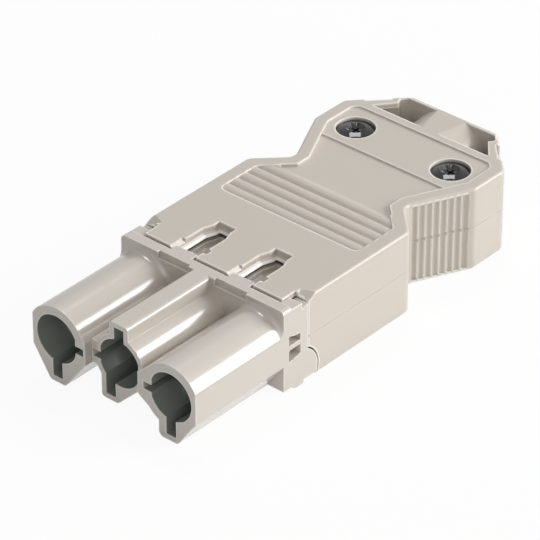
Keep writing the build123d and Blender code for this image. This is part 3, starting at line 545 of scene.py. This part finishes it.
@dataclass(frozen=True)
class Thread:
    """Outside thread of a screw's shank, in millimetres."""

    radius: float
    pitch: float
    low: float
    high: float
    depth_share: float = 0.6
    steps: int = 24

    def build(self, work: bmesh.types.BMesh) -> None:
        """Wind the thread round the Z axis and cap its ends.

        Args:
            work: The mesh to add to.
        """
        root = self.radius - self.depth_share * self.pitch
        crest = self.radius
        profile = ((root, 0.0), (root, 0.15), (crest, 0.45), (crest, 0.55), (root, 0.85), (root, 1.0))
        coil = bmesh.new()
        start = self.low - 1.5 * self.pitch
        corners = [coil.verts.new((r * MM, 0.0, (start + z * self.pitch) * MM)) for r, z in profile]
        edges = [coil.edges.new(pair) for pair in zip(corners, corners[1:])]
        turns = math.ceil((self.high - start) / self.pitch) + 1
        bmesh.ops.spin(
            coil, geom=corners + edges, cent=(0.0, 0.0, 0.0), axis=(0.0, 0.0, 1.0),
            dvec=(0.0, 0.0, self.pitch * MM / self.steps), angle=FULL_TURN * turns,
            steps=self.steps * turns, use_duplicate=False,
        )
        bmesh.ops.remove_doubles(coil, verts=coil.verts, dist=SLIVER_MM * MM)
        for height, keep in ((self.low, 1.0), (self.high, -1.0)):
            bmesh.ops.bisect_plane(
                coil, geom=coil.verts[:] + coil.edges[:] + coil.faces[:], dist=0.0001 * MM,
                plane_co=(0.0, 0.0, height * MM), plane_no=(0.0, 0.0, keep), clear_inner=True,
            )
        rims = [edge for edge in coil.edges if edge.is_boundary]
        bmesh.ops.holes_fill(coil, edges=rims, sides=0)
        bmesh.ops.recalc_face_normals(coil, faces=coil.faces)
        mesh = bpy.data.meshes.new("coil")
        coil.to_mesh(mesh)
        coil.free()
        work.from_mesh(mesh)
        bpy.data.meshes.remove(mesh)


@dataclass(frozen=True)
class Screw:
    """A screw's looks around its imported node, in millimetres."""

    node: str
    centre: tuple[float, float]
    profile: tuple[tuple[float, float], ...]
    thread: Thread
    drive: Drive
    slot: str
    drive_depth: float
    drive_width: float
    drive_reach: float
    teeth: int = 0
    tooth_depth: float = 0.16
    tooth_match: float = 0.01
    foot_scale: tuple[float, float, float] = (0.62, 0.7, 1.0)
    overshoot: float = 1.0

    def build(self, material: bpy.types.Material) -> bpy.types.Object:
        """Turn the head, cut its drive and wind its thread.

        Args:
            material: The finish it takes.

        Returns:
            The screw, riding on its body.
        """
        head = self._head()
        top = max(height for _, height in self.profile)
        work = carved(head, self._tool(top))
        self.thread.build(work)
        bmesh.ops.translate(work, verts=work.verts, vec=(self.centre[0] * MM, self.centre[1] * MM, 0.0))
        made = piece_from(work, f"{self.node}_turned", material)
        for face in made.data.polygons:
            face.use_smooth = True
        made.data.set_sharp_from_angle(angle=math.radians(SHARP_DEGREES))
        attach(made, self.node)
        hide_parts(self.node)
        LOG.info("turned %s", self.node)
        return made

    def _head(self) -> bmesh.types.BMesh:
        """Turn the head's profile, with serrations round its recess.

        Returns:
            A closed mesh round the Z axis.
        """
        work = bmesh.new()
        corners = [work.verts.new((r * MM, 0.0, z * MM)) for r, z in self.profile]
        edges = [work.edges.new(pair) for pair in zip(corners, corners[1:])]
        bmesh.ops.spin(
            work, geom=corners + edges, cent=(0.0, 0.0, 0.0), axis=(0.0, 0.0, 1.0),
            angle=FULL_TURN, steps=TURNING_STEPS, use_merge=True,
        )
        bmesh.ops.remove_doubles(work, verts=work.verts, dist=WELD_MM * MM)
        if self.teeth:
            self._serrate(work)
        bmesh.ops.recalc_face_normals(work, faces=work.faces)
        return work

    def _serrate(self, work: bmesh.types.BMesh) -> None:
        """Press radial grooves into the head's inner ring.

        Args:
            work: The turned head.
        """
        ring_radius, ring_height = self.profile[2]
        every = TURNING_STEPS // self.teeth
        pressed = []
        for vert in work.verts:
            radius = math.hypot(vert.co.x, vert.co.y) / MM
            miss = max(abs(radius - ring_radius), abs(vert.co.z / MM - ring_height))
            if miss > self.tooth_match:
                continue
            step = round(math.atan2(vert.co.y, vert.co.x) / FULL_TURN * TURNING_STEPS)
            if step % every < every // 2:
                pressed.append(vert)
        bmesh.ops.translate(work, verts=pressed, vec=(0.0, 0.0, -self.tooth_depth * MM))

    def _tool(self, top: float) -> bmesh.types.BMesh:
        """Shape the cutter of the drive recess.

        Args:
            top: Height of the head's top.

        Returns:
            A closed mesh that reaches above the head.
        """
        work = bmesh.new()
        arms = (0.0, math.pi / 2.0) if self.drive is Drive.CROSS else (0.0,)
        height = self.drive_depth + self.overshoot
        for turn in arms:
            made = bmesh.ops.create_cube(work, size=1.0)["verts"]
            size = (2.0 * self.drive_reach * MM, self.drive_width * MM, height * MM)
            bmesh.ops.scale(work, verts=made, vec=size)
            if self.drive is Drive.CROSS:
                foot = [vert for vert in made if vert.co.z < 0.0]
                bmesh.ops.scale(work, verts=foot, vec=self.foot_scale)
            bmesh.ops.rotate(work, verts=made, cent=(0.0, 0.0, 0.0), matrix=Matrix.Rotation(turn, 3, "Z"))
        middle = top - self.drive_depth + height / 2.0
        bmesh.ops.translate(work, verts=work.verts, vec=(0.0, 0.0, middle * MM))
        return work


@dataclass(frozen=True)
class Palette:
    """Every finish of the connector."""

    housing: MouldedPlastic = MouldedPlastic(
        "housing_plastic", (0.565, 0.52, 0.465), 0.17, gloss=0.9,
        # Bores and key slots that get painted shade.
        hollows=(
            Bore(-10.5), Bore(10.5), Bore(0.0, front_mm=MIDDLE_MOUTH_MM),
            KeySlot((-11.43, 0.9), (-9.57, 7.3)), KeySlot((9.57, 0.9), (11.43, 7.3)),
            KeySlot((-2.63, 1.25), (-0.77, 7.3), front_mm=MIDDLE_MOUTH_MM),
            KeySlot((-0.93, 7.3), (0.93, 12.98), front_mm=MIDDLE_MOUTH_MM),
            KeySlot((-7.0, 6.45), (-5.62, 7.75)), KeySlot((5.62, 6.45), (7.0, 7.75)),
            KeySlot((-4.85, 6.45), (-3.5, 7.75), front_mm=MIDDLE_MOUTH_MM),
        ),
    )
    shell: MouldedPlastic = MouldedPlastic(
        "shell_plastic", (0.56, 0.51, 0.45), 0.28, edge_mm=0.18,
        # Strong painted highlight on the shell's convex edges.
        highlight_reach_mm=0.42, edge_highlight_share=0.9, seam_mm=7.3,
    )
    contact: PlatedMetal = PlatedMetal("tinned_brass", (0.72, 0.71, 0.68), 0.24, (14.0, 1.0, 14.0))
    terminal: PlatedMetal = PlatedMetal("drawn_brass", (0.74, 0.57, 0.29), 0.30, (14.0, 1.0, 14.0))
    plated: PlatedMetal = PlatedMetal("zinc_plate", (0.66, 0.67, 0.69), 0.30)
    black: BlackenedSteel = BlackenedSteel("black_steel")


@dataclass
class ContactBlock:
    """The moulded contact housing with its pins and terminals."""

    palette: Palette
    poles: tuple[str, ...] = ("left", "middle", "right")
    centres: tuple[float, ...] = (-10.5, 0.0, 10.5)
    screw_place: float = -0.885
    head: tuple[float, float] = (10.95, 12.15)
    head_radius: float = 2.2
    shank_radius: float = 1.5
    tip: float = 7.25

    def build(self) -> None:
        """Dress the housing, its pins, terminals, plates and terminal screws."""
        dress(["contact_housing"], self.palette.housing.build())
        dress([f"contact_pin_{pole}" for pole in self.poles], self.palette.contact.build())
        dress([f"terminal_{pole}" for pole in self.poles], self.palette.terminal.build())
        plated = self.palette.plated.build()
        dress([f"pressure_plate_{pole}" for pole in self.poles], plated)
        for pole, centre in zip(self.poles, self.centres):
            self._terminal_screw(pole, centre).build(plated)

    def _terminal_screw(self, pole: str, centre: float) -> Screw:
        """Size a terminal screw.

        Args:
            pole: Its pole's name.
            centre: X of the pole in millimetres.

        Returns:
            The screw.
        """
        low, high = self.head
        profile = (
            (0.0, high), (self.head_radius - 0.2, high), (self.head_radius, high - 0.2),
            (self.head_radius, low + 0.08), (self.head_radius - 0.08, low), (0.0, low),
        )
        return Screw(
            node=f"terminal_screw_{pole}", centre=(centre, self.screw_place), profile=profile,
            thread=Thread(self.shank_radius, 0.5, self.tip, low + 0.05), drive=Drive.SLOT,
            slot="plated_steel", drive_depth=0.6, drive_width=0.7, drive_reach=self.head_radius + 0.5,
        )


@dataclass
class StrainRelief:
    """The two shells, their screws, washers and nuts."""

    palette: Palette
    sides: tuple[str, ...] = ("left", "right")
    screw_reach: float = 8.85
    screw_place: float = 24.735
    head: tuple[float, float] = (11.25, 13.7)
    head_radius: float = 2.85
    dome_radius: float = 6.0
    dome_rings: tuple[float, ...] = (1.45, 1.65, 1.85, 2.05, 2.25, 2.45, 2.65)
    recess_depth: float = 0.62
    recess_radius: float = 0.85
    tooth_ring: tuple[float, float] = (1.0, 0.55)
    rim_drops: tuple[float, float] = (0.6, 0.68)
    shank_radius: float = 1.45
    tip: float = 5.81

    def build(self) -> None:
        """Dress the shells and the fasteners that clamp the cable."""
        dress(["upper_shell", "lower_shell"], self.palette.shell.build())
        black = self.palette.black.build()
        dress([f"clamp_washer_{side}" for side in self.sides], self.palette.plated.build())
        for side, centre in zip(self.sides, (-self.screw_reach, self.screw_reach)):
            self._clamp_screw(side, centre).build(black)
        dress([f"clamp_nut_{side}" for side in self.sides], self.palette.terminal.build())

    def _clamp_screw(self, side: str, centre: float) -> Screw:
        """Size a strain-relief screw, with a low dome round a serrated recess.

        Args:
            side: Left or right.
            centre: X of the screw in millimetres.

        Returns:
            The screw.
        """
        low, high = self.head
        rim = self.head_radius
        floor = high - self.recess_depth
        ring, ring_drop = self.tooth_ring
        soft, edge = self.rim_drops
        dome = [(radius, high - radius ** 2 / (2.0 * self.dome_radius)) for radius in self.dome_rings]
        profile = (
            (0.0, floor), (self.recess_radius, floor), (ring, high - ring_drop), *dome,
            (rim - 0.05, high - soft), (rim, high - edge), (rim, low + 0.1), (rim - 0.1, low), (0.0, low),
        )
        return Screw(
            node=f"clamp_screw_{side}", centre=(centre, self.screw_place), profile=profile,
            thread=Thread(self.shank_radius, 0.7, self.tip, low + 0.05), drive=Drive.CROSS,
            slot="black_steel", drive_depth=1.5, drive_width=0.42, drive_reach=0.95, teeth=24,
        )


@dataclass
class SoftLamp:
    """One soft box of the studio."""

    name: str
    place: Colour
    size: float
    power: float
    target: Colour = (0.0, 0.0, 0.007)
    length: float = 0.0

    def build(self) -> None:
        """Hang the lamp and turn it to its target."""
        data = bpy.data.lights.new(self.name, "AREA")
        data.shape = "RECTANGLE"
        data.size = self.size
        data.size_y = self.length or self.size
        data.energy = self.power
        lamp = bpy.data.objects.new(self.name, data)
        bpy.context.scene.collection.objects.link(lamp)
        lamp.location = self.place
        lamp.rotation_euler = (Vector(self.target) - Vector(self.place)).to_track_quat("-Z", "Y").to_euler()


@dataclass
class Studio:
    """Pale floor, soft light and the camera."""

    floor_size: float = 3.0
    floor_grey: float = 0.86
    floor_share: float = 0.93
    floor_drop_mm: float = 0.02
    world_level: float = 0.245
    lens_mm: float = 259.76
    sensor_mm: float = 36.0
    camera_place: Colour = (0.299930, -0.348576, 0.308257)
    camera_right: Colour = (0.754206, 0.656637, -0.000738)
    camera_up: Colour = (-0.361162, 0.415764, 0.834687)
    camera_back: Colour = (0.548393, -0.629259, 0.550724)
    lamps: list[SoftLamp] = field(default_factory=lambda: [
        SoftLamp("key", (0.62, 0.57, 0.34), 0.50, 7.8),
        SoftLamp("overhead", (-0.296, 0.340, 0.893), 0.38, 2.75, length=0.25),
        SoftLamp("front", (0.60, -0.69, 0.61), 0.9, 2.8),
    ])

    def build(self) -> None:
        """Make the floor, world, lamps and camera."""
        self._floor()
        self._world()
        for lamp in self.lamps:
            lamp.build()
        self._camera()
        bpy.context.scene.view_settings.view_transform = "Standard"

    def _seen(self, graph: Graph) -> Signal:
        """Rays that show the background itself.

        Args:
            graph: The graph to add to.

        Returns:
            1 for camera, glossy and transmission rays, otherwise 0.
        """
        path = graph.node("ShaderNodeLightPath", {}, {})
        kinds = ("Is Camera Ray", "Is Glossy Ray", "Is Transmission Ray")
        camera, glossy, through = (Signal(graph, path.outputs[kind]) for kind in kinds)
        return camera | glossy | through

    def _floor(self) -> None:
        """Lay the floor, white to the camera and still holding the shadow."""
        work = bmesh.new()
        bmesh.ops.create_grid(work, x_segments=1, y_segments=1, size=self.floor_size / 2)
        bmesh.ops.translate(work, verts=work.verts, vec=(0.0, 0.0, -self.floor_drop_mm * MM))
        graph = Graph.material("pale_floor")
        grain = graph.noise(40.0, 2.0)
        grey = self.floor_grey
        tone = graph.tint((grey, grey, grey), (grey + 0.02,) * 3, grain)
        paper = graph.node("ShaderNodeBsdfDiffuse", {}, {"Color": tone})
        glow = graph.node("ShaderNodeEmission", {}, {"Color": (*WHITE, 1.0), "Strength": 1.0})
        mixed = graph.node(
            "ShaderNodeMixShader", {},
            {0: self._seen(graph) * self.floor_share, 1: paper.outputs[0], 2: glow.outputs[0]},
        )
        graph.node("ShaderNodeOutputMaterial", {}, {"Surface": mixed.outputs[0]})
        floor = piece_from(work, "floor", graph.owner)

    def _world(self) -> None:
        """Light the scene evenly, with a white background to the camera."""
        world = bpy.data.worlds.new("studio")
        bpy.context.scene.world = world
        graph = Graph(world)
        tone = graph.tint((self.world_level,) * 3, WHITE, self._seen(graph))
        back = graph.node("ShaderNodeBackground", {}, {"Color": tone})
        graph.node("ShaderNodeOutputWorld", {}, {"Surface": back.outputs[0]})

    def _camera(self) -> None:
        """Place the camera where the photograph was taken."""
        data = bpy.data.cameras.new("camera")
        data.lens = self.lens_mm
        data.sensor_width = self.sensor_mm
        data.clip_start = 0.05
        data.clip_end = 10.0
        camera = bpy.data.objects.new("camera", data)
        turn = Matrix((self.camera_right, self.camera_up, self.camera_back)).transposed()
        camera.matrix_world = Matrix.Translation(self.camera_place) @ turn.to_4x4()
        bpy.context.scene.collection.objects.link(camera)
        bpy.context.scene.camera = camera


def main() -> None:
    """Build the connector's looks and its studio."""
    logging.basicConfig(level=logging.INFO)
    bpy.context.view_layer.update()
    palette = Palette()
    ContactBlock(palette).build()
    StrainRelief(palette).build()
    Studio().build()


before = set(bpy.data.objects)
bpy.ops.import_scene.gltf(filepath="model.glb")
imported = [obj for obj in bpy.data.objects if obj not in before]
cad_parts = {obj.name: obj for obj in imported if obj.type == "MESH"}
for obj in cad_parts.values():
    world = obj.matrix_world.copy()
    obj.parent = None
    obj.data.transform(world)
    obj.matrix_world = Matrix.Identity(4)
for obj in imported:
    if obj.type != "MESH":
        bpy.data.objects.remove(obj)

if __name__ == "__main__":
    main()
